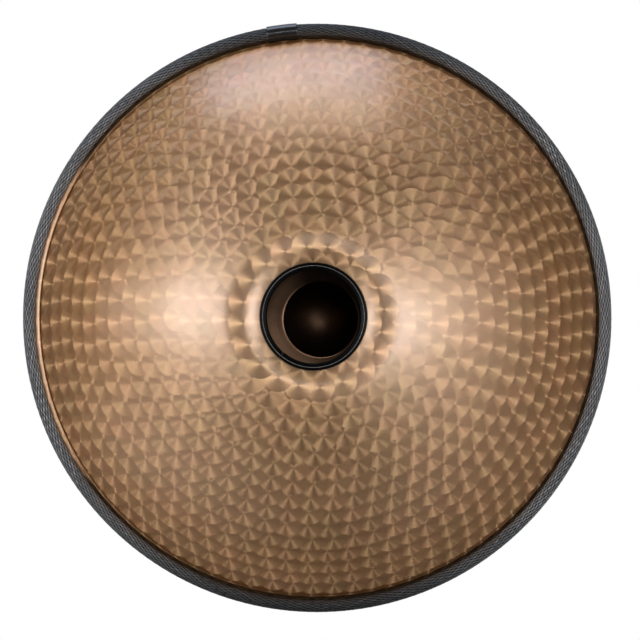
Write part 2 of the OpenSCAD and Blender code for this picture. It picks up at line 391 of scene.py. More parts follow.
def swirl_metal(name, upper, seed):
    """Copper-toned steel, polished in overlapping round swirls set in rings about
    the axis."""
    net = material_net(name)
    position = net.position_mm()
    x, y, _, radius = net.split(position)
    azimuth = net.math("ARCTAN2", y, x)
    (d_along, d_around, chance), distance = find_swirl(net, radius, azimuth, seed)
    # direction away from the swirl's middle, along the sheet
    around = net.round_axis(x, y)
    outwards = net.vector("CROSS_PRODUCT", net.geometry("Normal"), around)
    if upper:
        outwards = net.scale(outwards, -1.0)
    tangent = net.vector("NORMALIZE", net.vector(
        "ADD", net.scale(outwards, d_along), net.scale(around, d_around)))
    # concentric scratches (fine and broad per mm, shifted by the swirl's own random)
    fine = net.noise_line(net.math("MULTIPLY_ADD", distance, 4.6, chance * 90.0),
                          detail=3.0, rough=0.7)
    broad = net.noise_line(net.math("MULTIPLY_ADD", distance, 0.8, chance * 50.0),
                           detail=1.0, rough=0.5)
    edge = net.remap(distance / SWIRL_R, over=(0.90, 0.99), smooth=True)
    haze = net.noise(position, scale=0.012, detail=3.0, rough=0.55)
    blot = net.noise(position, scale=0.05, detail=3.0, rough=0.6)
    grit = net.noise(position, scale=2.2, detail=2.0, rough=0.6)
    tone = (chance.swing(TONE["swirl"])
            + (fine.swing(TONE["fine"]) + broad.swing(TONE["broad"]))
            + haze.swing(TONE["haze"]) + blot.swing(TONE["blot"]) + edge * TONE["edge"])
    tone = net.math("ADD", tone, 0.5, use_clamp=True)
    shade = net.remap(tone, over=(0.0, 1.0), to=(0.58, 0.96) if upper else (0.72, 1.18))
    # the heat-coloured film over the metal: a paler, clearer sheen
    film = net.ramp(tone, [(0.0, (0.62, 0.56, 0.52)), (1.0, (0.82, 0.76, 0.72))])
    if not upper:
        # painted shade: darkens the colour and the sheen in the bend by the cord and round
        # the trim's foot
        painted_shade = lower_painted_shade(net, radius, azimuth, haze, blot)
        shade = shade * (1.0 - painted_shade * 0.93)
        film = net.mix_color(painted_shade, film, (0.05, 0.045, 0.04))
    # hue drifts a little from swirl to swirl, reddish to olive
    hue = net.math("FRACT", chance * 7.31)
    deep = net.mix_color(hue, (0.99, 0.405, 0.105), (0.93, 0.425, 0.10))
    pale = net.mix_color(hue, (0.955, 0.590, 0.325), (0.925, 0.605, 0.32))
    bump = net.bump(fine * 0.5 + (edge * -0.15 + grit * 0.12),
                    strength=0.25, distance=0.00005)
    # scratches: light spreads across them, so each swirl shows a bright bow
    brushed = net.principled(
        Base_Color=net.dim(pale, shade), Metallic=1.0,
        Roughness=fine.swing(0.06) + (COPPER_ROUGH + haze.swing(0.08)),
        Anisotropic=1.0, Tangent=tangent, Normal=bump)
    soft = net.principled(Base_Color=net.dim(deep, shade), Metallic=1.0,
                          Roughness=0.52, Normal=bump)
    share = net.remap(radius, over=(100.0, 250.0), to=SOFT_SHARE)
    copper = net.mix_shader(share, brushed, soft)
    sheen = net.principled(Base_Color=film, Metallic=1.0, Roughness=0.27, Normal=bump)
    return net.finish(net.mix_shader(FILM_SHARE, copper, sheen))


# ------------------------------------------------------------- other materials
# Noise scales are per mm, remap ranges over a radius or a height are mm, and bump
# distances are metres. A product inside a sum is a pattern's weight in the blend.
def inside_steel():
    """The unpolished inside of the shells: brown scale with faint draw rings, and a painted
    shadow beside the centre note.
    """
    net = material_net("shell_inside")
    position = net.position_mm()
    x, y, _, radius = net.split(position)
    blot = net.noise(position, scale=0.03, detail=5.0, rough=0.6)
    fine = net.noise(position, scale=0.7, detail=3.0, rough=0.6)
    rings = net.noise_line(radius * 0.6, detail=2.0, rough=0.6)
    color = net.ramp(blot * 0.6 + (fine * 0.2 + rings * 0.2),
                     [(0.25, (0.10, 0.052, 0.028)), (0.5, (0.15, 0.082, 0.046)),
                      (0.75, (0.21, 0.124, 0.074))])
    # painted shadow: a black, more metallic patch beside the centre note, on its -X +Y side
    side = (y - x) * 0.7071 / net.math("MAXIMUM", radius, 1.0)
    painted_shadow = (net.remap(side, over=(-0.15, 0.55), smooth=True)
             * (net.remap(radius, over=(36.0, 37.5))
                * net.remap(radius, over=(70.0, 95.0), to=(1.0, 0.0))))
    shadow_cover = painted_shadow * net.remap(blot, over=(0.3, 0.7), to=(0.95, 0.78))
    rough = (net.remap(fine, over=(0.2, 0.8), to=(0.07, 0.11))
             + net.remap(radius, over=(35.5, 37.5), to=(0.20, 0.0), smooth=True))
    return net.finish(net.principled(
        Base_Color=net.mix_color(shadow_cover, color, (0.012, 0.007, 0.005)), Roughness=rough,
        Normal=net.bump(fine * 0.25 + rings, strength=0.08, distance=0.00004),
        Metallic=net.remap(painted_shadow, over=(0.0, 1.0), to=(0.82, 0.95))))


def cord_cover():
    """Round braid: the strands are geometry, and this adds the filaments that run
    along each strand, their sheen, and the shade between strands."""
    net = material_net("braided_cord")
    # along the strand, across it, and its height
    along, across, high = net.separate(net.attribute("strand", "Vector"))
    position = net.position_mm()
    x, y, _, radius = net.split(position)
    filament = net.noise(net.xyz(across * 8.0, along * 0.8, 0.0),
                         scale=1.0, detail=3.0, rough=0.6)
    twist = net.signal("ShaderNodeTexWave", {
        "Vector": net.xyz(across * 1.6 + along * 0.6, 0.0, 0.0),
        "Scale": 1.0, "Distortion": 0.6, "Detail": 1.0},
        output=1, wave_type="BANDS", bands_direction="X")
    big = net.noise(position, scale=0.045, detail=3.0, rough=0.6)
    fuzz = net.noise(position, scale=3.5, detail=2.0, rough=0.7)
    thread = filament * 0.5 + (twist * 0.25 + fuzz * 0.25)
    bump = net.bump(filament + twist * 0.6, strength=0.55, distance=0.0002)

    color = net.ramp(thread, [(0.2, (0.004, 0.0042, 0.0046)),
                              (0.5, (0.011, 0.0115, 0.0125)),
                              (0.8, (0.030, 0.031, 0.033))])
    color = net.mix_color(net.remap(high, over=(0.15, 0.8)),
                          (0.0012, 0.0012, 0.0014), color)
    color = net.mix_color(net.remap(big, over=(0.4, 0.75), to=(0.0, 0.2)), color,
                          (0.022, 0.023, 0.025))
    rough = (net.remap(filament, over=(0.2, 0.8), to=(0.34, 0.50))
             + net.remap(high, over=(0.0, 0.6), to=(0.2, 0.0)))
    body = net.principled(
        Base_Color=color, Roughness=rough, Normal=bump,
        Specular_IOR_Level=net.remap(high, over=(0.2, 0.8), to=(0.04, 0.5)))

    gleam = net.ramp(thread, [(0.2, (0.15, 0.152, 0.157)), (0.8, (0.74, 0.747, 0.76))])
    own = net.white(net.xyz(net.attribute("strand_id", "Fac"), 0.5, 0.5))
    gleam = net.dim(gleam, net.remap(own, over=(0.0, 1.0), to=(0.45, 1.5)))
    gleam = net.mix_color(net.remap(high, over=(0.35, 0.95)),
                          (0.006, 0.006, 0.006), gleam)
    # painted shade: the gleam darkens on the cord's inner side, in the gap beside the shell
    gleam = net.mix_color(net.remap(radius, over=(266.8, 268.6), smooth=True),
                          (0.02, 0.019, 0.018), gleam)
    # painted light: the gleam is brighter at the -X and +X sides, and a little brighter
    # towards +Y
    painted_side_light = net.math("ABSOLUTE", x / radius)
    painted_side_light = (net.remap(painted_side_light, over=(0.15, 0.95), to=(0.45, 1.35), smooth=True)
            * net.remap(y, over=(-273.0, 273.0), to=(0.85, 1.1)))
    tangent = net.vector("CROSS_PRODUCT", net.geometry("Normal"), net.round_axis(x, y))
    lit = net.principled(Base_Color=net.dim(gleam, painted_side_light), Metallic=1.0, Roughness=0.45,
                         Anisotropic=0.95, Tangent=tangent, Normal=bump)
    lit_share = 0.62
    return net.finish(net.mix_shader(lit_share, body, lit))


def core_rubber():
    """Dull, dusty rubber."""
    net = material_net("channel_rubber")
    position = net.position_mm()
    grain = net.noise(position, scale=3.2, detail=3.0, rough=0.65)
    big = net.noise(position, scale=0.12, detail=3.0, rough=0.5)
    dust = net.math("POWER", net.noise(position, scale=1.9, detail=4.0, rough=0.75), 3.0)
    color = net.mix_color(net.remap(big, over=(0.3, 0.7)),
                          (0.0165, 0.0165, 0.018), (0.0297, 0.0297, 0.0324))
    return net.finish(net.principled(
        Base_Color=net.mix_color(dust * 0.10, color, (0.30, 0.30, 0.30)),
        Roughness=grain.swing(0.22) + (0.62 + big.swing(0.12)),
        Normal=net.bump(grain, strength=0.45, distance=0.00012),
        Specular_IOR_Level=0.5, Coat_Weight=0.0, Coat_Roughness=0.18))


def trim_rubber():
    """Smooth extruded rubber, with a painted highlight: speckled grey along its ridge."""
    net = material_net("trim_rubber")
    position = net.position_mm()
    _, _, z, radius = net.split(position)
    grain = net.noise(position, scale=3.2, detail=3.0, rough=0.65)
    big = net.noise(position, scale=0.12, detail=3.0, rough=0.5)
    speck = net.noise(position, scale=1.5, detail=3.0, rough=0.8)
    off_ridge = net.math("ABSOLUTE", radius - RIDGE_R)
    ridge = (net.remap(off_ridge, over=(0.12, 0.34), to=(1.0, 0.0), smooth=True)
             * net.remap(z, over=(3.0, 5.0), to=(1.0, 0.0)))
    # painted highlight: speckled grey along the ridge
    painted_ridge_highlight = ridge * net.remap(speck, over=(0.36, 0.62), to=(0.25, 1.0))
    color = net.mix_color(net.remap(big, over=(0.3, 0.7)),
                          (0.0022, 0.0022, 0.0024), (0.004, 0.004, 0.0043))
    return net.finish(net.principled(
        Base_Color=net.mix_color(painted_ridge_highlight, color, (0.52, 0.49, 0.455)),
        Roughness=net.remap(grain, over=(0.2, 0.8), to=(0.16, 0.26)) + ridge * 0.2,
        Normal=net.bump(grain, strength=0.16, distance=0.00006),
        Specular_IOR_Level=net.remap(ridge, over=(0.0, 1.0), to=(0.08, 0.6))))


def sleeve_plastic():
    """Glossy black plastic, its reflection dulled beside the shell as painted shade in the
    gap.
    """
    net = material_net("shrink_sleeve")
    position = net.position_mm()
    smear = net.noise(position, scale=0.35, detail=3.0, rough=0.55)
    scuff = net.noise(position, scale=2.6, detail=3.0, rough=0.6)
    radius = net.split(position)[3]
    # painted shade: the reflection fades beside the shell, in the gap
    clear = net.remap(radius, over=(267.6, 269.6), to=(0.1, 1.0), smooth=True)
    return net.finish(net.principled(
        Base_Color=net.mix_color(smear, (0.006, 0.006, 0.007), (0.018, 0.018, 0.019)),
        Roughness=0.16 + smear * 0.16,
        Normal=net.bump(smear + scuff * 0.12, strength=0.2, distance=0.00004),
        Specular_IOR_Level=clear * 0.7, Coat_Weight=clear, Coat_Roughness=0.05))


def adhesive():
    net = material_net("flange_adhesive")
    lumps = net.noise(net.position_mm(), scale=0.5, detail=4.0, rough=0.6)
    return net.finish(net.principled(
        Base_Color=net.mix_color(lumps, (0.035, 0.03, 0.028), (0.11, 0.095, 0.085)),
        Roughness=net.remap(lumps, over=(0.0, 1.0), to=(0.35, 0.6)),
        Normal=net.bump(lumps, strength=0.5, distance=0.0003)))


def clip_steel():
    """Bright strip with rolling marks round the axis and dull spots."""
    net = material_net("clip_steel")
    position = net.position_mm()
    x, y, z = net.separate(position)
    around = net.math("ARCTAN2", y, x) * 200.0
    rolled = net.noise(net.xyz(around, z * 6.0, 0.0), scale=0.6, detail=3.0, rough=0.6)
    spot = net.noise(position, scale=0.4, detail=4.0, rough=0.65)
    return net.finish(net.principled(
        Base_Color=net.mix_color(net.remap(spot, over=(0.4, 0.75)),
                                 (0.52, 0.52, 0.53), (0.33, 0.30, 0.28)),
        Metallic=1.0, Roughness=net.remap(rolled, over=(0.2, 0.8), to=(0.28, 0.5)),
        Normal=net.bump(rolled, strength=0.3, distance=0.0001)))


LOWER_METAL = swirl_metal("bronzed_steel_lower", upper=False, seed=3.0)
UPPER_METAL = swirl_metal("bronzed_steel_upper", upper=True, seed=11.0)
INSIDE = inside_steel()
CORD = cord_cover()
CORE = core_rubber()
TRIM_RUBBER = trim_rubber()
SLEEVE = sleeve_plastic()
BOND = adhesive()
CLIP = clip_steel()


# ------------------------------------------------------------------ gu shell
UNEVEN = 0.10        # size of both domes' unevenness
BEND_SHIFT = 1.0     # the lower bend sits this far towards -X


def gu_section():
    """Closed section of the lower shell from the port's edge: outside, then inside."""
    edge, crest, bend = (math.degrees(a) for a in (EDGE_A, CREST_A, BEND_A))
    neck_at, crest_at, dome_at = (NECK_C, NECK_R), (CREST_C, CREST_R), (0, DOME_Z)
    bend_at = (BEND_C, DOME_Z - (DOME_R + BEND_R) * math.cos(BEND_A))
    outside = np.vstack([
        arc(neck_at, NECK_R, -90 - edge, -90, 16),
        arc(crest_at, CREST_R, -90, -90 + crest, 12, last=False),
        arc(dome_at, DOME_R, -90 + crest, -90 + bend, 84),
        arc(bend_at, BEND_R, 90 + bend, 90, 7, first=False),
        [[FLANGE_R - 0.25, FACE_Z - SHEET], [FLANGE_R, FACE_Z - SHEET + 0.25]]])
    inside = np.vstack([
        [[FLANGE_R, FACE_Z - 0.2], [FLANGE_R - 0.2, FACE_Z]],
        arc(bend_at, BEND_R + SHEET, 90, 90 + bend, 6),
        arc(dome_at, DOME_R - SHEET, -90 + bend, -90 + crest, 34, first=False),
        arc(crest_at, CREST_R - SHEET, -90 + crest, -90, 5, first=False),
        arc(neck_at, NECK_R - SHEET, -90, -90 - edge, 8)])
    return outside, inside


def build_gu():
    outside, inside = gu_section()
    section = np.vstack([outside, inside])
    verts = revolve(section)
    around = np.arange(SHELL_SEGMENTS)[:, None] * TURN / SHELL_SEGMENTS
    radius = section[None, :, 0]
    # sheet that was drawn, not turned: a very slight unevenness on the dome only
    fade = smoothstep((radius - 85) / 30) * smoothstep((258 - radius) / 20)
    dent = np.abs(waves(around, radius, 21, UNEVEN) * fade)
    out = verts - np.array([0, 0, DOME_Z])
    out /= np.linalg.norm(out, axis=-1, keepdims=True)
    verts = verts - out * dent[..., None]
    # the bend was run off centre, so more flange shows on the +X side
    verts[..., 0] -= (BEND_SHIFT * smoothstep((radius - 225) / 38)
                      * smoothstep((271 - radius) / 5))
    column = np.tile(np.arange(len(section)), SHELL_SEGMENTS)
    ob = make("gu_shell_skin", verts.reshape(-1, 3),
              grid_faces(SHELL_SEGMENTS, len(section)), sharp=38,
              materials=[LOWER_METAL, INSIDE],
              face_material=np.where(column < len(outside), 0, 1))
    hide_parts("gu_shell")


# ---------------------------------------------------------------- ding shell
FIELD_COUNT = 8
FIELD_MAX, FIELD_MIN = 135.0, 100.0     # long axes of the largest and smallest field
FIELD_RATIO = 0.82                      # short axis to long
FIELD_RING_R = 175.0
FIELD_FLAT = 0.8                        # share of the dome's curve a field loses
# dimple in a field: size to the field's, short axis to long, depth to length
DIMPLE, DIMPLE_RATIO, DIMPLE_DEPTH = 0.385, 0.7, 0.075
DIMPLE_FLOOR = -0.6                     # bowl's value beyond its lip, in depths
DING_D, DING_H, DING_SUNK = 75.0, 11.0, 0.8
DING_FIELD_D, DING_FIELD_DROP = 184.0, 6.5
# runs of rings by angle from the axis: (start, stop, points); a run's first point is
# left out. Rings are closer together where the sheet has more shape.
POLE_A = 0.0012
OUTSIDE_RUNS = [(POLE_A, 0.135, 30), (0.139, 0.262, 26), (0.262, 0.655, 88),
                (0.655, BEND_A, 12)]
INSIDE_RUNS = [(BEND_A, 0.655, 4), (0.655, 0.262, 26), (0.262, 0.125, 8),
               (0.125, 0.088, 16), (0.088, POLE_A, 16)]


def field_long(i):
    return FIELD_MAX * (FIELD_MIN / FIELD_MAX) ** (i / (FIELD_COUNT - 1))


def field_azimuth(i):
    """Fields alternate sides from -Y on, each side sharing its half turn by length."""
    side, place = i % 2, i // 2
    longs = [field_long(side + 2 * k) for k in range(FIELD_COUNT // 2)]
    angle = 180 * (sum(longs[:place]) + field_long(i) / 2) / sum(longs)
    return math.radians(-90 - angle if side == 0 else -90 + angle)


def soft_min(a, b, width):
    """The lower of two surfaces, rounded over width where they cross."""
    share = np.clip(0.5 + 0.5 * (b - a) / width, 0, 1)
    return b * (1 - share) + a * share - width * share * (1 - share)


def soft_max(a, b, width):
    return -soft_min(-a, -b, width)


def sphere_hit(direction, centre_z, radius):
    """Distance along a ray to the far side of a sphere on the axis."""
    middle = direction[..., 2] * centre_z
    return middle + np.sqrt(np.maximum(middle * middle - centre_z ** 2 + radius ** 2, 0))


def soft_positive(x):
    return 0.5 * (x + np.sqrt(x ** 2 + 0.10))


def press_field(reach, direction, i):
    """Lowers the surface to tone field i and sinks its dimple."""
    tilt = math.asin(FIELD_RING_R / DOME_R)
    azimuth = field_azimuth(i)
    normal = np.array([math.sin(tilt) * math.cos(azimuth),
                       math.sin(tilt) * math.sin(azimuth), math.cos(tilt)])
    around = np.array([-math.sin(azimuth), math.cos(azimuth), 0.0])
    outwards = np.cross(around, normal)
    facing = direction @ normal
    near = facing > 0.9
    slope_long, slope_short = direction @ around / facing, direction @ outwards / facing
    long_r = DOME_R / (1 - FIELD_FLAT * FIELD_RATIO ** 2)
    short_r = DOME_R / (1 - FIELD_FLAT)
    top = DOME_R - FIELD_FLAT * (FIELD_RATIO * field_long(i) / 2) ** 2 / 2 / DOME_R
    # where the ray meets the field's slow curve, approached in steps
    height = np.full(facing.shape, top)
    for _ in range(6):
        a, b = slope_long * height, slope_short * height
        height = 0.5 * height + 0.5 * (top - a * a / (2 * long_r) - b * b / (2 * short_r))
    field = np.where(near, height / np.where(near, facing, 1), 1e4)
    reach = soft_min(reach, field, 0.5)
    # dimple, with a soft lip
    half = field_long(i) * DIMPLE / 2
    depth = 2 * half * DIMPLE_DEPTH
    out = np.sqrt((slope_long * height / half) ** 2
                  + (slope_short * height / (half * DIMPLE_RATIO)) ** 2)
    bowl = depth * np.where(out < 1.25, 1 - out ** 2, DIMPLE_FLOOR)
    sunk = np.where(out < 1.7, soft_positive(bowl) - soft_positive(DIMPLE_FLOOR * depth), 0)
    return reach - np.where(near, np.maximum(sunk, 0), 0)


def ding_reach(direction):
    """Distance of the upper shell's outside from its centre of curvature, along
    unit directions."""
    # field round the ding: a flatter sphere
    flat_r = 1 / (1 / DOME_R - 2 * DING_FIELD_DROP / (DING_FIELD_D / 2) ** 2)
    field_top = DOME_R - DING_FIELD_DROP
    reach = soft_min(np.full(direction.shape[:-1], DOME_R),
                     sphere_hit(direction, field_top - flat_r, flat_r), 0.55)
    for i in range(FIELD_COUNT):
        reach = press_field(reach, direction, i)
    # the ding's raised centre, a ball that counts only where it stands near the sheet
    ball_r = ((DING_D / 2) ** 2 + DING_H ** 2) / (2 * DING_H)
    ball = sphere_hit(direction, field_top + DING_H - DING_SUNK - ball_r, ball_r)
    return soft_max(reach, np.where(ball > 300, ball, reach - 30), 1.1)


def ring_angles(runs):
    return np.concatenate([np.linspace(*run)[1:] for run in runs])


def ding_grid(angles):
    """Angles from and round the axis, directions, reach, and the fade to plain dome
    at the bend."""
    around = np.arange(SHELL_SEGMENTS) * TURN / SHELL_SEGMENTS
    tilt, around = np.meshgrid(angles, around, indexing="xy")
    direction = spin(np.sin(tilt), np.cos(tilt), around)
    fade = smoothstep((BEND_A - tilt) / 0.05)
    reach = DOME_R + (ding_reach(direction) - DOME_R) * fade
    return tilt, around, direction, reach, fade


def build_ding():
    angles = np.concatenate([[POLE_A], ring_angles(OUTSIDE_RUNS)])
    tilt, around, direction, reach, fade = ding_grid(angles)
    reach = reach - (np.abs(waves(around, tilt * DOME_R, 33, UNEVEN)) * fade
                     * smoothstep((tilt - .02) / .1))
    outside = direction * reach[..., None]

    bend = math.degrees(BEND_A)
    bend_at = (BEND_C, (DOME_R + BEND_R) * math.cos(BEND_A))
    bend_outside = arc(bend_at, BEND_R, -90 - bend, -90, 7, first=False)
    flange_edge = [[FLANGE_R - 0.25, DROP + SHEET], [FLANGE_R, DROP + SHEET - 0.25],
                   [FLANGE_R, DROP + 0.2], [FLANGE_R - 0.2, DROP]]
    bend_inside = arc(bend_at, BEND_R + SHEET, -90, -90 - bend, 6)
    rim = revolve(np.vstack([bend_outside, flange_edge, bend_inside]))

    # the inside, coarser along the sheet, is the same shape less the sheet
    _, _, direction, inner_reach, _ = ding_grid(ring_angles(INSIDE_RUNS))
    inner_reach = inner_reach - SHEET * 1.02
    grid = np.concatenate([outside, rim, direction * inner_reach[..., None]], axis=1)
    columns = grid.shape[1]
    faces = list(grid_faces(SHELL_SEGMENTS, columns, wrap_columns=False, flip=True))
    polished = len(angles) + len(bend_outside) + len(flange_edge) - 1
    column = np.tile(np.arange(columns - 1), SHELL_SEGMENTS)
    face_material = list(np.where(column < polished, 0, 1)) + [0, 1] * SHELL_SEGMENTS
    # close both poles with a fan
    top = SHELL_SEGMENTS * columns
    poles = [[0, 0, reach[:, 0].mean()], [0, 0, inner_reach[:, -1].mean()]]
    for i in range(SHELL_SEGMENTS):
        j = (i + 1) % SHELL_SEGMENTS
        faces.append((top, i * columns, j * columns))
        faces.append((top + 1, j * columns + columns - 1, i * columns + columns - 1))
    verts = np.vstack([grid.reshape(-1, 3), poles]) + np.array([0, 0, TOP_Z])
    ob = make("ding_shell_skin", verts, faces, sharp=38,
              materials=[UPPER_METAL, INSIDE], face_material=face_material)
    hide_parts("ding_shell")


# ------------------------------------------------------------------ rim cord
BRAID_GAP = 0.8            # between the cord's ends
BRAID_REPEATS = 204        # repeats of a strand family, end to end
BRAID_ROWS = 14
BRAID_RELIEF = 0.50        # kept inside the CAD's radius
BRAID_WALL = 0.98
STRAND_LIFT, STRAND_ROUND = 0.30, 0.62   # weave and strand height, before scaling


def add_attribute(ob, name, kind, key, values):
    layer = ob.data.attributes.new(name, kind, "POINT")
    layer.data.foreach_set(key, values.reshape(-1))


def build_braid():
    """A round braid of strands laid both ways, one over and one under, closed along
    the mouth that grips the flange."""
    rows = BRAID_REPEATS * 4 + 1       # along the cord
    columns = BRAID_ROWS * 4 + 1       # round the cord
    along, across = np.meshgrid(np.arange(rows), np.arange(columns), indexing="ij")
    # a and b count the strands of the two families
    a, b = (along + across) / 4.0, (along - across) / 4.0
    strand_a, strand_b = np.floor(a), np.floor(b)
    in_a, in_b = a - strand_a - 0.5, b - strand_b - 0.5

    def strand_height(offset, other, strand, lift):
        crown = np.sqrt(np.clip(1 - (offset / 0.53) ** 2, 0, 1))
        weave = np.cos(math.pi * (other - 0.5)) * np.where(strand % 2 == 0, 1, -1)
        return lift * weave + STRAND_ROUND * crown

    height_a = strand_height(in_a, b, strand_a, STRAND_LIFT)
    height_b = strand_height(in_b, a, strand_b, -STRAND_LIFT)
    over_a = height_a >= height_b
    height = np.maximum(height_a, height_b)
    height = (height - height.min()) / (height.max() - height.min())
    # the relief dies out at the mouth's lips
    high = height * np.clip(np.minimum(across, columns - 1 - across) / 2.0, 0, 1)

    gap = BRAID_GAP / CORD_C
    around = SLEEVE_AZ + gap / 2 + np.linspace(0, TURN - gap, rows)[:, None]
    half = math.pi - math.asin(1.62 / CORD_R)
    outside = cord_surface(CORD_R - BRAID_RELIEF * (1 - high) - 0.02,
                           np.linspace(-half, half, columns)[None], around)
    # inside of the cover, against the rubber: coarse and smooth
    inside = cord_surface(CORD_R - BRAID_WALL, np.linspace(half, -half, 4)[None], around)
    verts = np.concatenate([outside, inside], axis=1)
    loop = verts.shape[1]
    faces = list(grid_faces(rows, loop, wrap_rows=False, flip=True))
    faces.append(range(loop))
    faces.append([(rows - 1) * loop + k for k in reversed(range(loop))])
    ob = make("rim_braid_weave", verts.reshape(-1, 3), faces,
              sharp=60, materials=[CORD])
    strand = np.zeros((rows, loop, 3), np.float32)
    strand[:, :columns, 0] = np.where(over_a, b, a)
    strand[:, :columns, 1] = np.where(over_a, in_a, in_b)
    strand[:, :columns, 2] = high
    add_attribute(ob, "strand", "FLOAT_VECTOR", "vector", strand)
    own = np.full((rows, loop), -1.0, np.float32)
    own[:, :columns] = np.where(over_a, np.mod(strand_a, BRAID_REPEATS),
                                1000.0 + np.mod(strand_b, BRAID_REPEATS))
    add_attribute(ob, "strand_id", "FLOAT", "value", own)
    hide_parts("rim_braid")


SLEEVE_LENGTH = 30.0
SLEEVE_END_WANDER = 0.3 / 273.0    # radians round the axis


def build_sleeve():
    """Shrunk tube: it follows the cord under it, thins at its ends and is slit on
    the flange side."""
    rows, columns = 90, 72
    half = math.pi - math.asin(2.1 / (CORD_R + 0.6))
    along = np.linspace(-1, 1, rows)[:, None]
    angle = np.linspace(-half, half, columns)[None]
    from_middle = along * SLEEVE_LENGTH / 2
    full = smoothstep((1 - np.abs(along)) * SLEEVE_LENGTH / 2 / 1.1)
    wobble = (0.016 * np.sin(along * 6 + 2 * angle)
              + 0.010 * np.sin(along * 13 - 3 * angle + 1)
              + 0.008 * np.cos(5 * angle + 7 * along))
    dip = 0.04 * np.exp(-(from_middle / 2.2) ** 2)      # over the cord's joint
    wall = np.clip(0.45 + (0.68 + wobble) * full - dip, 0.3, 1.16)
    ragged = 0.5 * np.sin(angle * 2.0) + 0.3 * np.sin(angle * 5 + 1) - 0.6
    around = (SLEEVE_AZ + from_middle / CORD_C
              + np.sign(along) * (np.abs(along) > 0.93) * ragged * SLEEVE_END_WANDER)
    verts = np.concatenate([cord_surface(CORD_R + wall, angle, around),
                            cord_surface(CORD_R + 0.04, angle[:, ::-1], around)], axis=1)
    loop = verts.shape[1]
    faces = list(grid_faces(rows, loop, wrap_rows=False, flip=True))
    for row, turn in ((0, 1), (rows - 1, -1)):
        start = row * loop
        for k in range(columns - 1):
            quad = (start + k, start + k + 1, start + loop - 2 - k, start + loop - 1 - k)
            faces.append(quad[::turn])
    ob = make("rim_join_sleeve_tube", verts.reshape(-1, 3), faces,
              sharp=50, materials=[SLEEVE])
    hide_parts("rim_join_sleeve")


# ----------------------------------------------------------------- port trim
LIP_START, LIP_FULL = 0.30, 1.16      # outside leg's thickness at its tip and beyond
LIP_RISE_LENGTH = 0.85
RIDGE_HALF_A, RIDGE_H = 0.34 / NECK_R, 0.43
TRIM_GAP, TRIM_JOINT_R = 0.55, 46.0   # joint's gap, and the radius it is measured at
TRIM_FIT = 0.02                       # clearance to the sheet


def trim_section():
    """U-shaped section over the port's edge, clockwise from the outside leg's root."""
    neck_at = (NECK_C, NECK_R)
    edge = math.degrees(EDGE_A)
    root = -90 - edge
    tip = root + math.degrees(TRIM_LEG_A)
    tip_a = math.radians(tip)
    ridge_a = -math.pi / 2 - math.asin((NECK_C - RIDGE_R) / (NECK_R + TRIM))

    # the outside leg: a thin lip from the sheet, a small round ridge, and then
    # rubber that thickens down to the nose
    lip_a = np.linspace(tip_a, ridge_a + RIDGE_HALF_A, 12)
    rise = np.clip((tip_a - lip_a) * NECK_R / LIP_RISE_LENGTH, 0, 1)
    lip = polar(neck_at, NECK_R + LIP_START
                + (LIP_FULL - LIP_START) * np.sin(rise * math.pi / 2), lip_a)
    t = np.linspace(-1, 1, 13)
    ridge = polar(neck_at, NECK_R + LIP_FULL + RIDGE_H * np.sqrt(np.clip(1 - t * t, 0, 1)),
                  ridge_a - RIDGE_HALF_A * t)
    rest = polar(neck_at, NECK_R + np.linspace(LIP_FULL, TRIM, 10)[1:],
                 np.linspace(ridge_a - RIDGE_HALF_A, math.radians(root), 10)[1:])

    inside_tip = polar(neck_at, NECK_R - SHEET - TRIM / 2, tip_a)
    sheet_edge = polar(neck_at, NECK_R - SHEET / 2, math.radians(root))
    return np.vstack([
        rest[::-1], ridge[::-1], lip[::-1][1:],
        arc(neck_at, NECK_R + TRIM_FIT, tip, root, 10),
        arc(neck_at, NECK_R - SHEET - TRIM_FIT, root, tip, 10),
        arc(inside_tip, TRIM / 2, tip, tip + 180, 9, first=False),
        arc(neck_at, NECK_R - SHEET - TRIM, tip, root, 12, first=False),
        arc(sheet_edge, SHEET / 2 + TRIM, 90 - edge, 270 - edge, 22,
            first=False, last=False)])


def build_trim():
    section = trim_section()
    rows = 361
    gap = TRIM_GAP / TRIM_JOINT_R
    around = TRIM_JOINT_AZ + gap / 2 + np.linspace(0, TURN - gap, rows)[:, None]
    # the ring is pressed on by hand, and its ends spring a little apart
    radius = section[None, :, 0] + 0.10 * np.sin(3 * around + 1) + 0.06 * np.sin(8 * around)
    from_end = np.minimum(around - around[0], around[-1] - around) * TRIM_JOINT_R
    side = np.where(np.arange(rows) < rows / 2, 1.0, -1.0)[:, None]
    spring = np.exp(-(from_end / 3.2) ** 2) * side
    verts = spin(radius + 0.22 * spring, section[None, :, 1] - 0.10 * spring, around)
    loop = len(section)
    faces = list(grid_faces(rows, loop, wrap_rows=False))
    faces.append(reversed(range(loop)))
    faces.append([(rows - 1) * loop + k for k in range(loop)])
    ob = make("port_trim_rubber", verts.reshape(-1, 3), faces,
              sharp=45, materials=[TRIM_RUBBER])
    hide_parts("port_trim")


build_gu()
build_ding()
build_braid()
build_sleeve()
build_trim()
for node, material in (("flange_bond", BOND), ("rim_core", CORE),
                       ("rim_clip_band", CLIP), ("port_trim_clip", CLIP)):
    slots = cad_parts[node].data.materials
    slots.clear()
    slots.append(material)

# --------------------------------------------------------------------- stage
# Metres from here on.
scene = bpy.context.scene
scene.view_settings.view_transform = "Standard"
scene.view_settings.look = "None"
FLOOR_RINGS = [0.2, 0.5, 1.0, 2.0, 4.0]
FLOOR_SEGMENTS = 96


